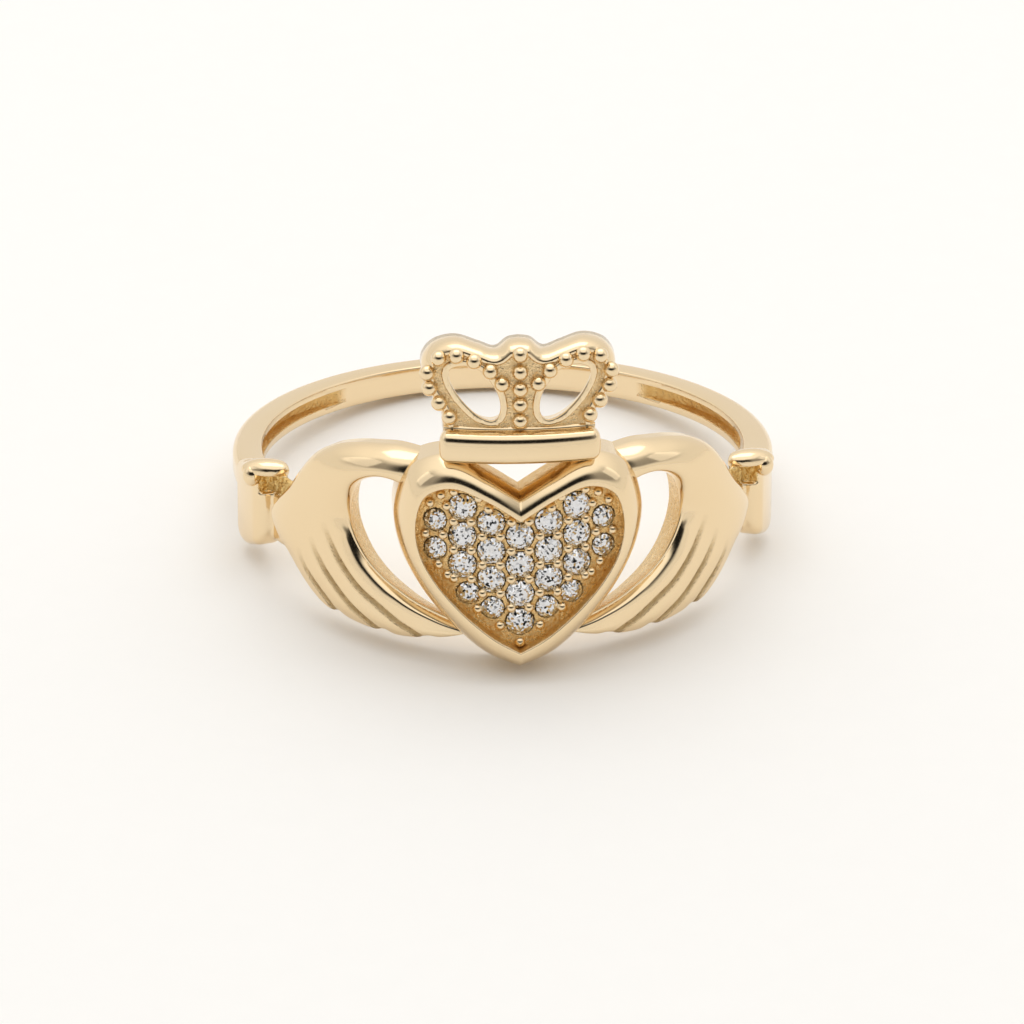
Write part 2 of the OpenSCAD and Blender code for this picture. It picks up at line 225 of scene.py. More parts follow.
def make_grainy(name, colour, deep_colour, smooth, rough, relief):
    material, nodes, links, shader, where = new_material(name)
    shader.inputs["Metallic"].default_value = 1.0
    grain = noise(nodes, links, where, 9000, 4.0)
    patches = noise(nodes, links, where, 3200, 3.0)
    links.new(blend_colour(nodes, links, patches, colour, deep_colour), shader.inputs["Base Color"])
    links.new(ramp(nodes, links, patches, smooth, rough), shader.inputs["Roughness"])
    links.new(bump(nodes, links, grain, relief, 0.00008), shader.inputs["Normal"])
    return material


polished_gold = make_polished()
# Recess walls: real cast grain and roughness, with painted shade in the deeper colour
cast_gold = make_grainy("cast_gold", CAST_AND_SHADE, CAST_AND_SHADE_DEEP, 0.24, 0.42, 0.9)
satin_gold = make_grainy("satin_gold", (0.87, 0.68, 0.42), (0.80, 0.56, 0.27), 0.20, 0.34, 0.8)
print("gold finishes:", polished_gold.name, cast_gold.name, satin_gold.name)

# %% [markdown]
# The fingers are parted by grooves that run out into the polished surface, so there the two finishes
# have to fade into each other. A number is stored at each point of the hand, 1 in a groove and 0 on
# the polished skin, and the shader blends by it. The grooves' dark colour is painted shade as well
# as matte grain. The same shader, in other colours, serves the channels inside the band and the
# pockets in the cuffs.


# %% Gold with engraved grooves
def make_engraved(name, recess, deep_recess):
    material, nodes, links, shader, where = new_material(name)
    shader.inputs["Metallic"].default_value = 1.0
    groove = nodes.new("ShaderNodeAttribute")
    groove.attribute_name = "groove"
    share = groove.outputs["Fac"]
    colour, roughness, normal = polish(nodes, links, where)
    patches = noise(nodes, links, where, 3200, 3.0)
    mixed = nodes.new("ShaderNodeMix")
    mixed.data_type = "RGBA"
    links.new(share, mixed.inputs["Factor"])
    links.new(colour, mixed.inputs["A"])
    # The recess colour is blended in by the groove share; in the finger grooves and the band's channels it
    # holds painted shade
    links.new(blend_colour(nodes, links, patches, recess, deep_recess), mixed.inputs["B"])
    links.new(mixed.outputs["Result"], shader.inputs["Base Color"])
    rough = nodes.new("ShaderNodeMix")
    links.new(share, rough.inputs["Factor"])
    links.new(roughness, rough.inputs["A"])
    rough.inputs["B"].default_value = 0.34
    links.new(rough.outputs["Result"], shader.inputs["Roughness"])
    grain = noise(nodes, links, where, 8000, 4.0)
    relief = reckon(nodes, links, NUMBERS, "MULTIPLY", grain, share).outputs["Value"]
    links.new(bump(nodes, links, relief, 0.9, 0.00012, normal), shader.inputs["Normal"])
    return material


# The finger grooves' dark brown is painted shade in the grooves, over a real matte grain
engraved_gold = make_engraved("engraved_gold", (0.66, 0.49, 0.27), (0.42, 0.28, 0.12))
# The band's channels take the cast colours, so they carry painted shade as well
hollowed_gold = make_engraved("hollowed_gold", CAST_AND_SHADE, CAST_AND_SHADE_DEEP)
pocket_gold = make_engraved("pocket_gold", (0.96, 0.75, 0.36), (0.82, 0.54, 0.19))
print("blended finishes:", engraved_gold.name, hollowed_gold.name, pocket_gold.name)

# %% [markdown]
# ## From a bmesh to a finished piece
#
# Each piece ends the same way. Its doubles are merged, its faces are made to point outwards, the one
# matrix places it, and only edges sharper than a chosen angle stay sharp. Then it is told which body
# carries it, and the ring's solid is hidden.


# %% Finish a piece
def to_object(bm, name):
    mesh = bpy.data.meshes.new(name)
    bm.to_mesh(mesh)
    bm.free()
    made = bpy.data.objects.new(name, mesh)
    bpy.context.scene.collection.objects.link(made)
    return made


def finish_piece(bm, name, materials, sharp=40.0, merge=0.0005):
    bmesh.ops.remove_doubles(bm, verts=bm.verts, dist=merge)
    bmesh.ops.recalc_face_normals(bm, faces=bm.faces)
    bmesh.ops.transform(bm, matrix=place, verts=bm.verts)
    piece = to_object(bm, name)
    mesh = piece.data
    for material in materials:
        mesh.materials.append(material)
    mesh.shade_smooth()
    mesh.set_sharp_from_angle(angle=math.radians(sharp))
    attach(piece, "root")
    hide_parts("gold_ring")
    print(name, "has", len(mesh.polygons), "faces")
    return piece


# %% [markdown]
# ## The band
#
# The real band is a drawn strip, rounded outside and flat towards the finger, with a long shallow
# channel scooped out of the inner face on each side to save metal. A strip could be bent from a
# flat mesh, but turning its section round the axis is exact. Extra lines in the section mark the
# channel's edges, and afterwards the points between them sink as the scoop of a round cutter would.

# %% Turn the band
BAND_R = HOLE_R + 1.05
BAND_HALF = 0.525
EDGE = 0.3
BAND_STEPS = 212
CHANNEL_HALF = 0.25
CHANNEL_AT = 118.0
CHANNEL_DEPTH = 0.4
CUFF_FRONT = 66.0
CUFF_END = 82.0
cutter_r = 0.69 * HOLE_R
cutter_off = HOLE_R + CHANNEL_DEPTH - cutter_r


def scoop(angle):
    """Depth of the channel at an angle, where a round cutter stands off the ring's axis."""
    turn = math.radians(abs(angle) - CHANNEL_AT)
    reach = cutter_off * math.cos(turn) + math.sqrt(cutter_r**2 - (cutter_off * math.sin(turn)) ** 2)
    return max(0.0, reach - HOLE_R)


def band_section():
    """Radius and height round the band's section, with closer rows at the channel's edges."""
    outer = []
    for degrees in range(0, 91, 10):
        a = math.radians(degrees)
        outer.append((BAND_R - EDGE + EDGE * math.cos(a), BAND_HALF - EDGE + EDGE * math.sin(a)))
    inner = [(HOLE_R + 0.06, BAND_HALF), (HOLE_R + 0.02, BAND_HALF - 0.015), (HOLE_R, BAND_HALF - 0.06)]
    channel = [(HOLE_R, z) for z in (CHANNEL_HALF + 0.02, CHANNEL_HALF, CHANNEL_HALF - 0.04, 0.08)]
    half = outer + inner + channel
    return half + [(r, -z) for r, z in reversed(half)]


bm = bmesh.new()
groove = bm.verts.layers.float.new("groove")
start = (CUFF_FRONT + CUFF_END) / 2
section = [bm.verts.new(around(start, r, z)) for r, z in band_section()]
loop = [bm.edges.new((a, b)) for a, b in zip(section, section[1:] + section[:1])]
sweep = math.radians(360 - 2 * start)
bmesh.ops.spin(
    bm, geom=section + loop, cent=(0, 0, 0), axis=(0, 0, 1), angle=sweep, steps=BAND_STEPS
)
bmesh.ops.holes_fill(bm, edges=[e for e in bm.edges if e.is_boundary])
for v in bm.verts:
    angle, r = turn_and_radius(v.co)
    if r < HOLE_R + 0.001 and abs(v.co.z) < CHANNEL_HALF + 0.001:
        depth = scoop(angle)
        grown = (r + depth * (1.0 if abs(v.co.z) < CHANNEL_HALF - 0.01 else 0.12)) / r
        v.co.x *= grown
        v.co.y *= grown
        # The share gives the channel the cast colour, darkened with painted shade
        v[groove] = soft_step(0.0, 0.1, depth)
finish_piece(bm, "band", [hollowed_gold], sharp=50)

# %% [markdown]
# ## The cuffs
#
# A cuff is the shirt sleeve's edge: a rounded wall across the band, a rolled lip along its top, and
# behind it the wrist that goes into the hand. On a casting these forms flow into each other. They
# could be joined with many bevels, but it is simpler to let them overlap and have the Remesh
# modifier draw one skin over them, which leaves small soft fillets like those of cast metal.


# %% A wall along the ring
WALL_MID_R = 9.2
REAR_EDGE = 0.12
SWEEP_STEPS = 36


def arc_wall(bm, side, turns, radii, heights, edge, front_edge):
    """A wall along the ring. Its corners have one edge radius, and its front a rounder one."""
    (start, end), (inner, outer), (low, high) = turns, radii, heights
    corners = [
        (cx + edge * math.cos(math.radians(a)), cz + edge * math.sin(math.radians(a)))
        for cx, cz, first in (
            (outer - edge, high - edge, 0),
            (inner + edge, high - edge, 90),
            (inner + edge, low + edge, 180),
            (outer - edge, low + edge, 270),
        )
        for a in range(first, first + 91, 15)
    ]
    before = set(bm.verts)
    face = bm.faces.new([bm.verts.new(around(side * start, r, z)) for r, z in corners])
    sweep = math.radians(side * (end - start))
    geom = [face] + face.verts[:] + face.edges[:]
    bmesh.ops.spin(bm, geom=geom, cent=(0, 0, 0), axis=(0, 0, 1), angle=sweep, steps=SWEEP_STEPS)
    middle = (low + high) / 2
    made = [v for v in bm.verts if v not in before]
    for v in made:
        angle, r = turn_and_radius(v.co)
        angle *= side
        gap, ease = min((angle - start, front_edge), (end - angle, REAR_EDGE))
        gap = math.radians(max(gap, 0.0)) * WALL_MID_R
        if gap < ease:
            inset = ease - math.sqrt(ease**2 - (ease - gap) ** 2)
            r -= inset * (r - inner) / (outer - inner)
            v.co = around(side * angle, r, v.co.z - inset * (v.co.z - middle) / (high - middle))
    return made


# %% An egg for the lip
def lip_axes(side):
    """Directions out along a lip, across it and up."""
    return Vector((side * 0.946, 0.324, 0)), Vector((side * -0.324, 0.946, 0)), Vector((0, 0, 1))


def pad(bm, centre, axes):
    """An egg shape with three half axes."""
    pose = Matrix.Translation(centre) @ Matrix(axes).transposed().to_4x4()
    bmesh.ops.create_uvsphere(bm, u_segments=32, v_segments=20, radius=1.0, matrix=pose)


# %% The forms of a cuff
CUFF_LOW = -2.05
CUFF_HIGH = 0.95
WALL_FRONT = CUFF_FRONT + 0.7
FRONT_EDGE = 0.5


def cuff_forms(side):
    """The sleeve's wall, the wrist and the lip, still as separate forms that overlap."""
    bm = bmesh.new()
    heights = (CUFF_LOW, CUFF_HIGH)
    for v in arc_wall(bm, side, (WALL_FRONT, CUFF_END), (HOLE_R, BAND_R), heights, 0.3, FRONT_EDGE):
        angle = abs(turn_and_radius(v.co)[0])
        # The wall rises from the band's top to the lip, and reaches lowest just before its end
        top_shift = 0.13 - 0.5 * soft_step(70.5, 82.0, angle)
        low_shift = 0.13 - 0.45 * soft_step(66.0, 78.0, angle) + 0.3 * soft_step(79.0, 82.0, angle) ** 2
        v.co.z += top_shift * min(1.0, max(0.0, v.co.z - 0.4) / 0.25)
        v.co.z += low_shift * min(1.0, max(0.0, -0.4 - v.co.z) / 1.2)
    # The wrist comes in two steps, which leaves a floor and a back for the pocket
    for turns, thickness, heights, edge in (
        ((CUFF_FRONT - 12, CUFF_FRONT + 3), 0.46, (CUFF_LOW + 0.3, 0.12), 0.2),
        ((CUFF_FRONT - 7, CUFF_FRONT + 4), 0.30, (-0.5, 0.74), 0.14),
    ):
        arc_wall(bm, side, turns, (HOLE_R, HOLE_R + thickness), heights, edge, 0.1)
    out, across, up = lip_axes(side)
    pad(bm, Vector((side * 8.60, -3.44, 0.90)), (out * 0.93 - up * 0.05, across * 0.5, up * 0.39))
    return bm


# %% [markdown]
# Under its lip each cuff is hollow, and through this pocket one looks into the sleeve. A cutter is
# made with the same wall function. It leaves the cuff at the front only, where its outer side is
# pushed past the wall, and stays inside the metal further back.

# %% The pocket's cutter
POCKET_LOW = 0.05
POCKET_HIGH = 0.78
POCKET_BACK = CUFF_FRONT + 2.2
POCKET_FLOOR = 0.38


def pocket_cutter(side):
    bm = bmesh.new()
    turns, radii = (CUFF_FRONT - 6, POCKET_BACK), (HOLE_R + POCKET_FLOOR, BAND_R)
    for v in arc_wall(bm, side, turns, radii, (POCKET_LOW, POCKET_HIGH), 0.1, 0.05):
        angle, r = turn_and_radius(v.co)
        if r > BAND_R - 0.3:
            v.co = around(angle, r + 0.5 - 0.78 * soft_step(67.0, 68.4, abs(angle)), v.co.z)
    bmesh.ops.recalc_face_normals(bm, faces=bm.faces)
    bmesh.ops.transform(bm, matrix=place, verts=bm.verts)
    return to_object(bm, "pocket")


# %% One skin over the forms
SKIN_STEP = 0.00005


def draw_skin(cuff, cutter):
    """Draws one skin, cuts the pocket, draws the skin again and softens its fillets."""
    for step in ("one skin", "pocket", "new skin"):
        if step == "pocket":
            cut = cuff.modifiers.new(step, "BOOLEAN")
            cut.operation = "DIFFERENCE"
            cut.object = cutter
        else:
            skin = cuff.modifiers.new(step, "REMESH")
            skin.mode = "VOXEL"
            skin.voxel_size = SKIN_STEP
    soft = cuff.modifiers.new("soft fillets", "SMOOTH")
    soft.iterations = 4
    soft.factor = 0.5
    graph = bpy.context.evaluated_depsgraph_get()
    fresh = bpy.data.meshes.new_from_object(cuff.evaluated_get(graph))
    cuff.modifiers.clear()
    bpy.data.objects.remove(cutter)
    cuff.data = fresh


# %% [markdown]
# No wheel reaches into the pocket, so it keeps the casting's lumpy surface. The lumps are moved
# points and not only bump in the material, because they catch the light as real ones do. The same
# share that drives them also tells the shader where the polish ends.

# %% The cast surface in the pocket
def cast_share(c):
    """How far a point of the cuff is unpolished, from 0 on its skin to 1 in the pocket."""
    angle, r = turn_and_radius(c)
    angle = abs(angle)
    gap = min(math.radians(max(angle - WALL_FRONT, 0.0)) * WALL_MID_R, FRONT_EDGE)
    skin_r = BAND_R - FRONT_EDGE + math.sqrt(FRONT_EDGE**2 - (FRONT_EDGE - gap) ** 2)
    return (
        soft_step(POCKET_LOW, POCKET_LOW + 0.08, c.z)
        * soft_step(POCKET_HIGH + 0.02, POCKET_HIGH - 0.04, c.z)
        * soft_step(POCKET_BACK + 0.6, POCKET_BACK + 0.3, angle)
        * soft_step(skin_r - 0.02, skin_r - 0.10, r)
        * soft_step(HOLE_R + 0.02, HOLE_R + 0.06, r)
    )


LUMP = 0.00009


def roughen(cuff):
    """Keeps the cuff out of the finger hole, and gives its pocket the groove share and the lumps."""
    mesh = cuff.data
    inside = place.inverted()
    least_r = HOLE_R + 0.003
    groove = mesh.attributes.new("groove", "FLOAT", "POINT")
    outwards = [v.normal.copy() for v in mesh.vertices]
    for v, normal in zip(mesh.vertices, outwards):
        c = inside @ v.co
        r = math.hypot(c.x, c.y)
        if r < least_r:
            v.co = place @ (c + Vector((c.x, c.y, 0)) * (least_r / r - 1))
        cast = cast_share(c)
        groove.data[v.index].value = cast
        lumps = turbulence(c * 5.5, 3, True) - 0.8
        v.co += normal * (LUMP * cast * lumps)
    mesh.shade_smooth()


# %% Make both cuffs
for name, side in (("cuff_left", -1), ("cuff_right", 1)):
    cuff = finish_piece(cuff_forms(side), name, [pocket_gold])
    draw_skin(cuff, pocket_cutter(side))
    roughen(cuff)
    print(name, "has one skin of", len(cuff.data.polygons), "faces")

# %% [markdown]
# The outer end of each lip hangs down in front of the wall like a drop. The real casting has a
# sharp crease beside it, which one skin would soften, so the drop stays a piece of its own.

# %% The hanging ends of the lips
bm = bmesh.new()
for side in (-1, 1):
    out, across, up = lip_axes(side)
    pad(bm, Vector((side * 9.10, -3.48, 0.70)), (out * 0.34, across * 0.34, up * 0.40))
finish_piece(bm, "lip_ends", [polished_gold], sharp=60, merge=0.00001)

# %% [markdown]
# ## The hands
#
# Each hand comes out of its cuff, bends round an open crescent and holds the heart with the thumb
# above and four fingers below. It is one bent sheet of metal with a rounded back. A grid is the
# simplest start: one direction runs round the crescent from the thumb to the fingertips, the other
# from the crescent's edge out to the hand's edge. A table gives both edges, and every grid point is
# moved to its place between them. The grooves between the fingers sink into the same surface.

# %% Tables of a hand
# Inner edge: angle and height. Outer edge: angle, height and radius. Then how far the back bulges.
HAND_ROWS = [
    (19.0, 2.12, 15.0, 3.00, 9.45, 0.30),
    (24.7, 2.20, 19.3, 3.20, 9.45, 0.34),
    (27.0, 2.30, 22.8, 3.33, 9.45, 0.38),
    (29.3, 2.33, 27.4, 3.41, 9.43, 0.40),
    (31.6, 2.25, 32.1, 3.35, 9.42, 0.40),
    (34.0, 2.06, 37.6, 3.22, 9.42, 0.38),
    (35.9, 1.78, 43.3, 2.96, 9.43, 0.36),
    (36.9, 1.42, 48.6, 2.47, 9.46, 0.33),
    (37.3, 1.06, 52.7, 1.74, 9.50, 0.30),
    (37.3, 0.70, 56.2, 0.95, 9.55, 0.28),
    (36.8, 0.32, 59.9, 0.30, 9.58, 0.27),
    (35.9, -0.05, 62.3, -0.30, 9.60, 0.26),
    (34.6, -0.42, 59.7, -0.93, 9.62, 0.26),
    (33.0, -0.78, 55.6, -1.40, 9.64, 0.27),
    (31.2, -1.08, 51.6, -2.00, 9.66, 0.28),
    (29.3, -1.34, 47.6, -2.56, 9.67, 0.28),
    (27.2, -1.58, 43.4, -2.97, 9.68, 0.28),
    (25.0, -1.80, 38.8, -3.14, 9.68, 0.28),
    (22.6, -2.03, 34.0, -3.32, 9.68, 0.27),
    (20.0, -2.24, 29.1, -3.43, 9.68, 0.26),
    (17.2, -2.43, 24.2, -3.48, 9.68, 0.25),
    (14.2, -2.62, 19.5, -3.43, 9.68, 0.24),
    (11.0, -2.78, 14.8, -3.31, 9.68, 0.22),
    (8.0, -2.90, 10.5, -3.10, 9.68, 0.20),
]
INNER_R = 9.58
# How far the crescent's wall draws away from the opening towards its back
WALL_LEAN = 0.28
# Grooves between the fingers, from the knuckles to the notch at the hand's edge: angle and height
GROOVES = [
    [
        (42.8, 0.12), (41.5, -0.30), (39.1, -0.96), (34.4, -1.82),
        (29.8, -2.35), (25.3, -2.88), (22.3, -3.15), (19.9, -3.40),
    ],
    [(46.3, -0.55), (44.9, -0.98), (41.9, -1.62), (36.9, -2.45), (32.1, -3.04), (29.1, -3.40)],
    [(50.0, -1.15), (48.6, -1.58), (46.1, -2.04), (42.0, -2.66), (39.9, -3.10)],
]
# Notches where the grooves leave the hand's edge: angle and depth
NOTCHES = [(39.5, 0.13), (28.4, 0.17), (18.6, 0.2)]
# Millimetres along the hand's back for one degree
FLAT = math.pi / 180 * 9.8
groove_lines = [
    [(p[0] * FLAT, p[1]) for p in (along(line, k / 24) for k in range(25))] for line in GROOVES
]


# %% The height of a hand's back
LEDGE_FROM, LEDGE_WIDE = 0.12, 0.22


def hand_radius(u, v, width, outer_r, bulge):
    """Distance from the axis at u and v, where the hand is width wide."""
    # The thumb is round and rolls over early. The back of the hand is flatter.
    thumb = 1 - soft_step(0.33, 0.45, u)
    ledge = soft_step(0.40, 0.47, u)
    over = v ** (1 - 0.4 * thumb)
    power = 2.6 - 0.5 * thumb + (4.0 * ledge if over < 0.5 else 0.0)
    radius = INNER_R + (outer_r - INNER_R) * v + bulge * (1 - abs(2 * over - 1) ** power)
    # A narrow ledge runs along the crescent below the first finger
    if v * width < LEDGE_FROM + LEDGE_WIDE:
        low = INNER_R + 0.02
        rise = max(0.0, v * width - LEDGE_FROM) / LEDGE_WIDE
        radius += ledge * (low + (radius - low) * math.sqrt(1 - (1 - rise) ** 2) - radius)
    # Both outer edges are eased over, the thumb's upper edge most of all
    inner_ease = 0.05 + 0.10 * (1 - soft_step(0.28, 0.45, u))
    outer_ease = 0.40 - 0.20 * soft_step(0.30, 0.55, u)
    for gap, ease in ((v * width, inner_ease), ((1 - v) * width, outer_ease)):
        if gap < ease:
            radius -= ease - math.sqrt(ease * ease - (ease - gap) ** 2)
    return radius


# %% The grooves between the fingers
def groove_at(angle, height):
    """Depth of the grooves at a point of the hand, and how far it is unpolished and painted with shade."""
    depth = share = 0.0
    for line in groove_lines:
        gap = line_distance((angle * FLAT, height), line)
        if gap < 0.6:
            run_in = math.hypot(angle * FLAT - line[0][0], height - line[0][1]) / 1.3
            ends = min(1.0, run_in) ** 0.7
            depth += ends * (0.02 * math.exp(-((gap / 0.2) ** 2)) + 0.07 * math.exp(-((gap / 0.105) ** 4)))
            share = max(share, ends * math.exp(-((gap / 0.12) ** 4)))
    return depth, share


# %% A point of a hand
def hand_point(u, v):
    """Angle, radius, height, groove share and back shift. u runs from the thumb to the fingertips,
    v from the crescent outwards."""
    inner_a, inner_z, outer_a, outer_z, outer_r, bulge = along(HAND_ROWS, u)
    wide_a, wide_z = outer_a - inner_a, outer_z - inner_z
    angle = inner_a + wide_a * v
    height = inner_z + wide_z * v
    for at, depth in NOTCHES:
        if u > 0.5:
            height += depth * math.exp(-(((angle - at) / 1.3) ** 2)) * v**8
    width = math.hypot(wide_a * FLAT, wide_z)
    sunk, share = groove_at(angle, height)
    radius = hand_radius(u, v, width, outer_r, bulge) - sunk
    drawn = WALL_LEAN * (1 - v) ** 6 / width
    return angle, radius, height, share, (drawn * wide_a, drawn * wide_z)


# %% Make both hands
HAND_GRID = (280, 104)


def make_hand(side, name):
    bm = bmesh.new()
    groove, rim_side, back_a, back_z = (
        bm.verts.layers.float.new(layer) for layer in ("groove", "rim_side", "back_a", "back_z")
    )
    bmesh.ops.create_grid(bm, x_segments=HAND_GRID[0], y_segments=HAND_GRID[1], size=0.5)
    for v in bm.verts:
        t = v.co.y + 0.5
        # Rows are closer together along both edges, where the surface turns over
        across = t - 0.7 * math.sin(2 * math.pi * t) / (2 * math.pi)
        angle, radius, height, v[groove], shift = hand_point(v.co.x + 0.5, across)
        v.co = around(side * angle, radius, height)
        v[rim_side] = 1.0 if across < 0.0001 else 0.0
        v[back_a], v[back_z] = side * shift[0], shift[1]
    crescent = [e for e in bm.edges if e.is_boundary and all(v[rim_side] > 0.5 for v in e.verts)]
    grown = bmesh.ops.extrude_face_region(bm, geom=bm.faces[:], use_keep_orig=True)
    for v in (g for g in grown["geom"] if isinstance(g, bmesh.types.BMVert)):
        angle = turn_and_radius(v.co)[0]
        v.co = around(angle + v[back_a], BACK_R, v.co.z + v[back_z])
        v[groove] = 0.0
    for f in (f for e in crescent for f in e.link_faces):
        radii = [turn_and_radius(v.co)[1] for v in f.verts]
        if max(radii) - min(radii) > 0.5:
            f.material_index = 1
    finish_piece(bm, name, [engraved_gold, satin_gold], sharp=50, merge=0.00001)


make_hand(-1, "hand_left")
make_hand(1, "hand_right")

# %% [markdown]
# ## The heart's rim
#
# The rim is a domed frame round the sunk field of stones. Its section could be swept along a path,
# but the rim is wider at the lobes than at the sides, so the section is stretched between two
# outlines instead. A circle of points is moved onto the inner outline, and its edges are extruded
# step by step across the dome to the outer outline, down the outside and back under.

# %% Grow a surface from a loop
def extrude_rings(bm, rings):
    """Extrudes a closed loop through rings of points, and returns its first and last edges."""
    ordered = list(bmesh.ops.create_circle(bm, segments=len(rings[0]), radius=1)["verts"])
    for v, at in zip(ordered, rings[0]):
        v.co = at
    first = edges = [bm.edges.get((a, b)) for a, b in zip(ordered, ordered[1:] + ordered[:1])]
    for ring in rings[1:]:
        made = bmesh.ops.extrude_edge_only(bm, edges=edges)["geom"]
        fresh = {tuple(round(c, 5) for c in g.co): g for g in made if isinstance(g, bmesh.types.BMVert)}
        ordered = [fresh[tuple(round(c, 5) for c in v.co)] for v in ordered]
        for v, at in zip(ordered, ring):
            v.co = at
        edges = [bm.edges.get((a, b)) for a, b in zip(ordered, ordered[1:] + ordered[:1])]
    return first, edges


# %% Outlines of the heart
HEART_W, HEART_H, HEART_DROP = 8.6, 7.8, 0.3
RIM_R = HOLE_R + 2.1
RIM_FALL = 0.85
PAVE_R = RIM_R - 0.58
# Outer and inner outline from the cleft to the tip, as shares of half the width and of the height
HEART_ROWS = [
    (0, 0.34, 0, 0.218),
    (0.25, 0.425, 0.26, 0.31),
    (0.55, 0.5, 0.535, 0.368),
    (0.87, 0.425, 0.75, 0.328),
    (1, 0.24, 0.833, 0.215),
    (0.965, 0.055, 0.82, 0.074),
    (0.815, -0.12, 0.7, -0.064),
    (0.58, -0.285, 0.486, -0.205),
    (0.29, -0.428, 0.226, -0.329),
    (0, -0.5, 0, -0.401),
]
# From the inner to the outer edge of the dome: share of the width, share of the fall
DOME_ROWS = [
    (0, 0.07), (0.035, 0.01), (0.1, 0), (0.27, 0.02), (0.48, 0.13),
    (0.68, 0.33), (0.86, 0.62), (0.97, 0.88), (1, 1),
]


def heart_at(turn, out):
    """x and z on the heart at a share of the way round, from the inner (0) to the outer (1) outline."""
    side, share = (1, turn * 2) if turn <= 0.5 else (-1, 2 - turn * 2)
    ox, oz, ix, iz = along(HEART_ROWS, share)
    return side * (ix + (ox - ix) * out) * HEART_W / 2, (iz + (oz - iz) * out) * HEART_H - HEART_DROP


# %% Extrude the rim
ROUND = 240
CLEFT_LEAN = 0.21
steps = [(0.0, BACK_R), (0.0, RIM_R - 0.32)]
steps += [(s[0], RIM_R - RIM_FALL * s[1]) for s in (along(DOME_ROWS, k / 20) for k in range(21))]
steps += [(1.0, RIM_R - RIM_FALL - 0.1), (1.0, BACK_R)]


def heart_ring(out, radius):
    ring = []
    for i in range(ROUND):
        x, z = heart_at(i / ROUND, out)
        if out == 1.0 and radius < HOLE_R + 0.1 and z > 0:
            # Under the crown's bar the wall leans in towards the back
            x, z = heart_at(i / ROUND, 1.0 - CLEFT_LEAN * soft_step(2.4, 1.4, abs(x)))
        ring.append(in_front(x, radius, z))
    return ring


bm = bmesh.new()
inner_edges, outer_edges = extrude_rings(bm, [heart_ring(out, radius) for out, radius in steps])
bmesh.ops.bridge_loops(bm, edges=inner_edges + outer_edges)
bmesh.ops.recalc_face_normals(bm, faces=bm.faces)
for f in bm.faces:
    c = f.calc_center_median()
    r = math.hypot(c.x, c.y)
    # The wheel can't reach the wall round the stones, nor the opening under the crown's bar, so both take
    # the cast colour, darkened with painted shade
    steep = abs(f.normal.x * c.x + f.normal.y * c.y) / r < 0.3
    to_middle = Vector((-c.x, 0, -0.0875 * HEART_H - c.z))
    faces_stones = r < RIM_R - 0.1 and abs(c.x) < HEART_W * 0.43 and f.normal.dot(to_middle) > 0
    under_bar = r < RIM_R - 0.5 and abs(c.x) < 2.1 and c.z > 1.0
    f.material_index = 1 if steep and (faces_stones or under_bar) else 0
finish_piece(bm, "heart_rim", [polished_gold, cast_gold], sharp=50)

# %% [markdown]
# ## The field of stones
#
# The stones sit in a curved plate between the rim's walls. Its pattern is a grid of columns along
# the curve and rows up the heart. The same few numbers place the stones' seats and the small beads
# that hold them, so that the beads always fall between the stones. Each seat is a cone that a
# setting burr cuts. The plate is a disc of rings of points, and each point sinks by the depth of the
# cone that it lies in. The grid is much finer than a seat, which keeps the seats' edges crisp.

# %% Where the stones and beads sit
COLUMN_STEP = 0.116 * HEART_W
ROW_STEP = 0.135 * HEART_H
ROW_ZERO = 0.128 * HEART_H - HEART_DROP
STONE_D = 0.953
SMALL = 0.82
# Column, first row, last row, how many small stones end it, and how far those move inwards
STONE_COLUMNS = [(0, 0, -3, 0, 0), (1, 0.5, -2.5, 1, 0.05), (2, 1, -2, 1, 0.19), (3, 0.5, -0.5, 2, 0.04)]
BORDER_BEADS = [
    (0.3, 0.52), (1.09, 0.98), (1.43, 1.35), (2.3, 1.55), (2.55, 1.03), (2.76, 1.4), (3.15, 1.1),
    (2.85, -1.05), (2.53, -1.4), (1.48, -2.55), (0.7, -3.13),
]
PRONG_SIDE = 0.31

stones, beads = [], [(0, -3.72)]
for side in (-1, 1):
    for column, first_row, last_row, small_count, moved in STONE_COLUMNS:
        if column == 0 and side < 0:
            continue
        rows = [first_row - k for k in range(int(first_row - last_row) + 1)]
        for row in rows:
            small = row < last_row + small_count
            across = side * (column - (moved if small else 0)) * COLUMN_STEP
            stones.append((across, ROW_ZERO + row * ROW_STEP, STONE_D * (SMALL if small else 1)))
        beads += [(side * column + way * PRONG_SIDE, row - 0.5) for row in rows[:-1] for way in (-1, 1)]
    beads += [(side * c, r) for c, r in BORDER_BEADS]
print(len(stones), "stones and", len(beads), "beads")

# %% The plate with its seats
# The plate's deeper orange is partly its cast grain and partly painted shade of the sunk field
seat_gold = make_grainy("seat_gold", (0.92, 0.68, 0.35), (0.76, 0.47, 0.17), 0.20, 0.38, 1.0)
PLATE_MIDDLE_Z = -0.35

bm = bmesh.new()
bmesh.ops.create_grid(bm, x_segments=260, y_segments=72, size=0.5)
for v in bm.verts:
    turn, share = v.co.x + 0.5, v.co.y + 0.5
    x, z = heart_at(turn, 0.16)
    x, z = x * share, PLATE_MIDDLE_Z + (z - PLATE_MIDDLE_Z) * share
    across = math.asin(x / PAVE_R) * PAVE_R
    depth = 0.0
    for sx, sz, d in stones:
        gap = math.hypot(across - sx, z - sz)
        reach = d / 2 + 0.02
        if gap < reach:
            depth = max(depth, 0.06 + (reach - gap) * 0.9)
    v.co = in_front(x, PAVE_R - depth, z)
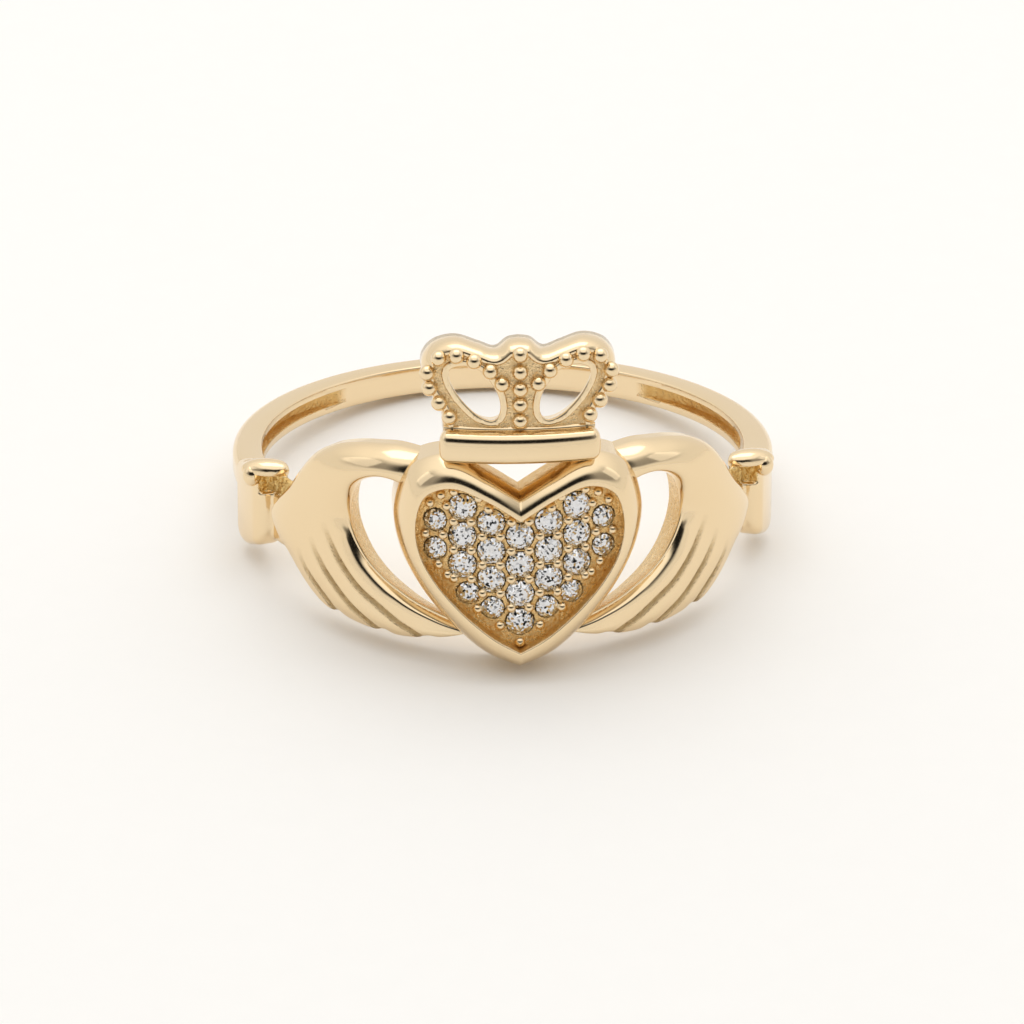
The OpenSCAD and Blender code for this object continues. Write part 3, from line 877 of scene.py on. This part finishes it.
# The seam and the middle are closed before the plate gets its thickness
bmesh.ops.remove_doubles(bm, verts=bm.verts, dist=0.002)
grown = bmesh.ops.extrude_face_region(bm, geom=bm.faces[:], use_keep_orig=True)
for v in (g for g in grown["geom"] if isinstance(g, bmesh.types.BMVert)):
    v.co = in_front(v.co.x, BACK_R, v.co.z)
finish_piece(bm, "stone_plate", [seat_gold], sharp=30, merge=0.002)

# %% [markdown]
# A setter raises small beads of gold with a graver and pushes them over the stones' edges. Each one
# is a small sphere, sunk almost to its middle in the plate. Its poles point out of the plate.

# %% The beads between the stones
STONE_BEAD_R = 0.185

bm = bmesh.new()
for column, row in beads:
    angle = math.degrees(column * COLUMN_STEP / PAVE_R)
    at = around(angle, PAVE_R + 0.01, ROW_ZERO + row * ROW_STEP)
    turn = Matrix.Rotation(math.radians(angle), 4, "Z") @ Matrix.Rotation(math.radians(90), 4, "X")
    pose = Matrix.Translation(at) @ turn
    bmesh.ops.create_uvsphere(bm, u_segments=18, v_segments=12, radius=STONE_BEAD_R, matrix=pose)
finish_piece(bm, "stone_beads", [polished_gold], sharp=60, merge=0.00001)

# %% [markdown]
# ## The crown
#
# The crown is a flat casting bent to the finger: a plate with a raised edge, two pierced windows and
# rows of beads, on a thick bar. It is easiest to build flat. Every outline is a closed loop of
# points. Its edges are extruded over the raised edge, which runs along a loop drawn a little further
# in, and the ground between the loops is filled with triangles. Cuts at even steps then let the flat
# plate bend.

# %% Flat loops
CROWN_W, CROWN_H, CROWN_Z = 6.7, 3.1, 4.6
CROWN_R, CROWN_BACK = HOLE_R + 1.5, HOLE_R + 0.3
CROWN_ROWS = [
    (0, 1), (0.12, 0.975), (0.25, 0.875), (0.42, 0.93), (0.65, 0.995), (0.86, 0.925), (0.98, 0.775),
    (1, 0.61), (0.96, 0.43), (0.87, 0.27), (0.8, 0.13), (0.78, -0.1),
]
WINDOW_ROWS = [
    (0.29, 0.11), (0.21, 0.19), (0.21, 0.35), (0.27, 0.5), (0.4, 0.68), (0.57, 0.74), (0.71, 0.69),
    (0.72, 0.57), (0.62, 0.37), (0.45, 0.18),
]
CROWN_BEADS = [
    (0.185, 0.57), (0.305, 0.715), (0.47, 0.83), (0.65, 0.885), (0.83, 0.845),
    (0.945, 0.665), (0.925, 0.49), (0.825, 0.325), (0.72, 0.165),
]
MIDDLE_BEADS = [0.91, 0.705, 0.505, 0.325, 0.135]


def crown_spot(x, z):
    return x * CROWN_W / 2, CROWN_Z + z * CROWN_H


def offset_loop(points, gap):
    """The closed loop drawn again, a gap to its left."""
    moved = []
    for i, (x, z) in enumerate(points):
        ax, az = points[i - 1]
        bx, bz = points[(i + 1) % len(points)]
        length = math.hypot(bx - ax, bz - az)
        moved.append((x - gap * (bz - az) / length, z + gap * (bx - ax) / length))
    return moved


def edge_loop(bm, points, rows):
    """Extrudes a flat loop through rows of (gap, depth), and returns its first and last edges."""
    rings = [[Vector((x, -depth, z)) for x, z in offset_loop(points, gap)] for gap, depth in rows]
    return extrude_rings(bm, rings)


# %% Fill, cut and bend the crown's plate
half = [along(CROWN_ROWS, k / 88) for k in range(89)]
outline = [crown_spot(-x, z) for x, z in reversed(half[1:])] + [crown_spot(x, z) for x, z in half]
outline.reverse()
right_window = [crown_spot(*along(WINDOW_ROWS, k / 60, closed=True)) for k in range(60)]
left_window = [(-x, z) for x, z in reversed(right_window)]
# The outer edge is a cushion. Each window has a broad flat border and opens out towards the back.
CUSHION = 0.30
ROUND_EDGE = [
    (CUSHION - CUSHION * math.cos(math.radians(a)), CROWN_R - 0.60 + 0.62 * math.sin(math.radians(a)))
    for a in range(0, 91, 9)
] + [(0.34, CROWN_R + 0.01), (0.38, CROWN_R - 0.03), (0.40, CROWN_R - 0.06)]
FLAT_BORDER = [(0.0, CROWN_R - 0.10), (0.0, CROWN_R - 0.02), (0.01, CROWN_R + 0.01), (0.04, CROWN_R + 0.03)]
FLAT_BORDER += [(0.20, CROWN_R + 0.03), (0.23, CROWN_R + 0.01), (0.25, CROWN_R - 0.06)]
PLATE_BACK = [(0.06, CROWN_BACK), (0.0, CROWN_BACK + 0.08)]
WINDOW_BACK = [(0.30, CROWN_BACK), (0.27, CROWN_BACK + 0.3)]
WINDOW_BACK += [(0.18, CROWN_BACK + 0.7), (0.06, CROWN_BACK + 1.0)]
CUT_STEP = 0.125

bm = bmesh.new()
fronts, backs = [], []
for points, rows in (
    (outline, PLATE_BACK + ROUND_EDGE),
    (right_window, WINDOW_BACK + FLAT_BORDER),
    (left_window, WINDOW_BACK + FLAT_BORDER),
):
    first, last = edge_loop(bm, points, rows)
    backs += first
    fronts += last
for edges in (fronts, backs):
    fill = bmesh.ops.triangle_fill(bm, use_beauty=True, use_dissolve=False, edges=edges, normal=(0, -1, 0))
    for f in (g for g in fill["geom"] if isinstance(g, bmesh.types.BMFace)):
        f.material_index = 1 if edges is fronts else 0
for step in range(-27, 28):
    whole = bm.verts[:] + bm.edges[:] + bm.faces[:]
    bmesh.ops.bisect_plane(bm, geom=whole, plane_co=(step * CUT_STEP, 0, 0), plane_no=(1, 0, 0), dist=0.0005)
for v in bm.verts:
    v.co = in_front(v.co.x, -v.co.y, v.co.z)
finish_piece(bm, "crown_plate", [polished_gold, satin_gold], sharp=45, merge=0.0005)

# %% [markdown]
# The bar under the crown is a rounded box with a swelling front that follows the finger. One ring of
# points gives its section at any x, and the ring is extruded from end to end. The rings shrink at
# both ends, which rounds them off.

# %% The crown's bar
BAR_W, BAR_H, BAR_R = 5.78, 1.17, HOLE_R + 2.05
BAR_SWELL = 0.55
END_EDGE = 0.32


def bar_ring(x):
    """The bar's section at x: a rounded box with a swelling front, smaller towards the ends."""
    gap = BAR_W / 2 - abs(x)
    inset = END_EDGE - math.sqrt(END_EDGE**2 - (END_EDGE - gap) ** 2) if gap < END_EDGE else 0.0
    ring = []
    for k in range(49):
        a = math.radians(-90 + 180 * k / 48)
        swell = math.cos(a) ** (2 / 3) if k % 48 else 0.0
        rise = math.copysign(abs(math.sin(a)) ** (2 / 3), a)
        r = BAR_R - BAR_SWELL + (BAR_SWELL - inset) * swell
        ring.append((r, CROWN_Z - BAR_H / 2 + (BAR_H / 2 - inset) * rise))
    # The top slopes down towards the finger, so that it stays hidden behind the windows
    ring += [(BACK_R, ring[-1][1] - 0.3), (BACK_R, ring[0][1])]
    return [around(math.degrees(x / BAR_R), r, z) for r, z in ring]


ends = [BAR_W / 2 - END_EDGE * (1 - math.cos(math.radians(a))) for a in range(0, 91, 10)]
stations = [-x for x in ends] + [BAR_W / 2 - END_EDGE - CUT_STEP * k for k in range(38, 0, -1)] + ends
bm = bmesh.new()
left_end, right_end = extrude_rings(bm, [bar_ring(x) for x in sorted({round(x, 5) for x in stations})])
for edges in (left_end, right_end):
    bmesh.ops.triangle_fill(bm, use_beauty=True, use_dissolve=False, edges=edges)
finish_piece(bm, "crown_bar", [polished_gold], sharp=60)

# %% The crown's beads
CROWN_BEAD_R = 0.28
BEAD_DROP = 0.03

bm = bmesh.new()
for x, z in [(s * x, z) for s in (-1, 1) for x, z in CROWN_BEADS] + [(0, z) for z in MIDDLE_BEADS]:
    x, z = crown_spot(x, z - BEAD_DROP)
    at = Matrix.Translation(in_front(x, CROWN_R + 0.02, z))
    bmesh.ops.create_uvsphere(bm, u_segments=24, v_segments=16, radius=CROWN_BEAD_R, matrix=at)
finish_piece(bm, "crown_beads", [polished_gold], sharp=60, merge=0.00001)

# %% [markdown]
# ## The stones
#
# The cut stones are right as the solids have them, with a table, crown facets and pavilion facets.
# They only need a finish. Almost all light that enters a brilliant comes back out of its table, so a
# part of the shader is a mirror and the rest is clear with a high refraction. A brilliant this small
# has more facets than the eye can follow. A cell pattern, a tenth of a millimetre wide, tilts the
# surface a little differently in each cell. That breaks the reflections into bright and dark flecks.


# %% Clear stone
def make_stone():
    material, nodes, links, shader, where = new_material("clear_stone")
    cells = nodes.new("ShaderNodeTexVoronoi")
    cells.inputs["Scale"].default_value = 13000
    links.new(where, cells.inputs["Vector"])
    colour, spread, middle = cells.outputs["Color"], (0.9, 0.9, 0.9), (-0.45, -0.45, -0.45)
    tilt = reckon(nodes, links, VECTORS, "MULTIPLY_ADD", colour, spread, middle).outputs["Vector"]
    normal = nodes.new("ShaderNodeNewGeometry").outputs["Normal"]
    tilted = reckon(nodes, links, VECTORS, "ADD", normal, tilt).outputs["Vector"]
    unit = reckon(nodes, links, VECTORS, "NORMALIZE", tilted).outputs["Vector"]
    links.new(unit, shader.inputs["Normal"])
    cloud = noise(nodes, links, where, 420, 1.0)
    tint = blend_colour(nodes, links, cloud, (0.92, 0.92, 0.93), (0.88, 0.89, 0.92))
    links.new(tint, shader.inputs["Base Color"])
    links.new(ramp(nodes, links, cloud, 0.02, 0.05), shader.inputs["Roughness"])
    shader.inputs["IOR"].default_value = 2.3
    shader.inputs["Metallic"].default_value = 0.8
    shader.inputs["Transmission Weight"].default_value = 1.0
    return material


clear_stone = make_stone()
cut_stones = [bpy.data.objects[name] for name in frame["nodes"] if name.startswith("stone_")]
for stone in cut_stones:
    for slot in stone.material_slots:
        slot.material = clear_stone
print(len(cut_stones), "stones finished")

# %% [markdown]
# ## Camera, floor and light
#
# The picture was taken with a long lens from in front and above, so the ring looks almost flat. The
# camera stands 250 mm away from the ring and looks along one fitted direction. Jewellery is lit in a
# bright tent: large soft lights on all sides. Gold in an even tent looks like butter, so some dark
# gaps are left between the lights. Their thin black reflections draw the shape.

# %% Camera
TURN, RISE, CAMERA_AWAY = math.radians(-3.4), math.radians(20.0), 250
AIM_RIGHT, AIM_DOWN = 0.338, 2.055

back = Matrix.Rotation(TURN, 3, "Z") @ Vector((0, -math.cos(RISE), math.sin(RISE)))
right = Matrix.Rotation(TURN, 3, "Z") @ Vector((1, 0, 0))
up = back.cross(right)
eye = back * CAMERA_AWAY
# The lens points a little to the side of the ring and below it
back = (eye - right * AIM_RIGHT + up * AIM_DOWN).normalized()
right = up.cross(back).normalized()
up = back.cross(right)
tilt = place.to_3x3() * 1000
pose = Matrix((tilt @ right, tilt @ up, tilt @ back)).transposed().to_4x4()
pose.translation = place @ eye
camera = bpy.data.objects.new("camera", bpy.data.cameras.new("camera"))
camera.matrix_world = pose
camera.data.lens = 244.34
camera.data.sensor_width = 36
camera.data.clip_start = 0.01
camera.data.clip_end = 10
bpy.context.scene.collection.objects.link(camera)
bpy.context.scene.camera = camera
print("camera looks down by", round(math.degrees(math.asin((tilt @ back).z)), 1), "degrees")

# %% [markdown]
# A sheet of matte paper lies just under the ring, so that no two surfaces meet exactly.

# %% Floor
FLOOR_GAP = 0.00002

bm = bmesh.new()
bmesh.ops.create_grid(bm, x_segments=2, y_segments=2, size=0.6)
floor = to_object(bm, "floor")
floor.location.z = -FLOOR_GAP
paper, nodes, links, shader, where = new_material("paper")
grain = noise(nodes, links, where, 900, 2.0)
paper_white = blend_colour(nodes, links, grain, (0.96, 0.95, 0.93), (0.98, 0.97, 0.95))
links.new(paper_white, shader.inputs["Base Color"])
shader.inputs["Roughness"].default_value = 0.9
floor.data.materials.append(paper)

# %% [markdown]
# Three soft boxes stand inside the tent: a large one above and a weak one on each side. They add the
# bright patches that travel along rounded gold.

# %% Light
RING_MIDDLE = Vector((0, 0, 0.004))


def soft_light(name, position, width, height, power):
    data = bpy.data.lights.new(name, "AREA")
    data.shape = "RECTANGLE"
    data.size, data.size_y = width, height
    data.energy = power
    light = bpy.data.objects.new(name, data)
    light.location = position
    light.rotation_euler = (RING_MIDDLE - Vector(position)).to_track_quat("-Z", "Y").to_euler()
    bpy.context.scene.collection.objects.link(light)
    print(name, "light of", round(width * 1000), "by", round(height * 1000), "mm")


soft_light("top", (0.0, 0.06, 0.20), 0.20, 0.12, 0.07)
for name, side in (("left", -1), ("right", 1)):
    soft_light(name, (side * 0.20, -0.02, 0.12), 0.10, 0.10, 0.018)

# %% [markdown]
# The tent itself is the world. It is brightest overhead, and dark where the camera looks in, because
# the lens pokes through a hole in the cloth. The hole is darkest round the lens and runs out to both
# sides as a dim slit. Every rounded edge that faces the lens shows it as a brown line.

# %% The tent
world = bpy.data.worlds.new("tent")
world.use_nodes = True
nodes, links = world.node_tree.nodes, world.node_tree.links
where = nodes.new("ShaderNodeTexCoord").outputs["Generated"]
way = nodes.new("ShaderNodeSeparateXYZ")
links.new(where, way.inputs[0])


def fade(value, first, last, low, high):
    return ramp(nodes, links, value, low, high, first, last, "SMOOTHSTEP")


def times(a, b):
    return reckon(nodes, links, NUMBERS, "MULTIPLY", a, b).outputs["Value"]


towards_lens = reckon(nodes, links, VECTORS, "DOT_PRODUCT", where, tilt @ back).outputs["Value"]
slit = times(fade(way.outputs["Z"], 0.12, 0.36, 0.0, 1.0), fade(way.outputs["Z"], 0.62, 0.88, 1.0, 0.0))
slit = times(slit, fade(way.outputs["Y"], -0.05, 0.30, 1.0, 0.0))
gap = times(slit, fade(towards_lens, 0.72, 0.94, 0.60, 0.94))
cloth = fade(way.outputs["Z"], 0.3, 0.9, 0.90, 1.20)
opening = fade(gap, 0.0, 1.0, 1.0, 0.0)
links.new(times(cloth, opening), nodes["Background"].inputs["Strength"])
nodes["Background"].inputs["Color"].default_value = (1.0, 0.985, 0.96, 1)
bpy.context.scene.world = world
bpy.context.scene.view_settings.view_transform = "Standard"
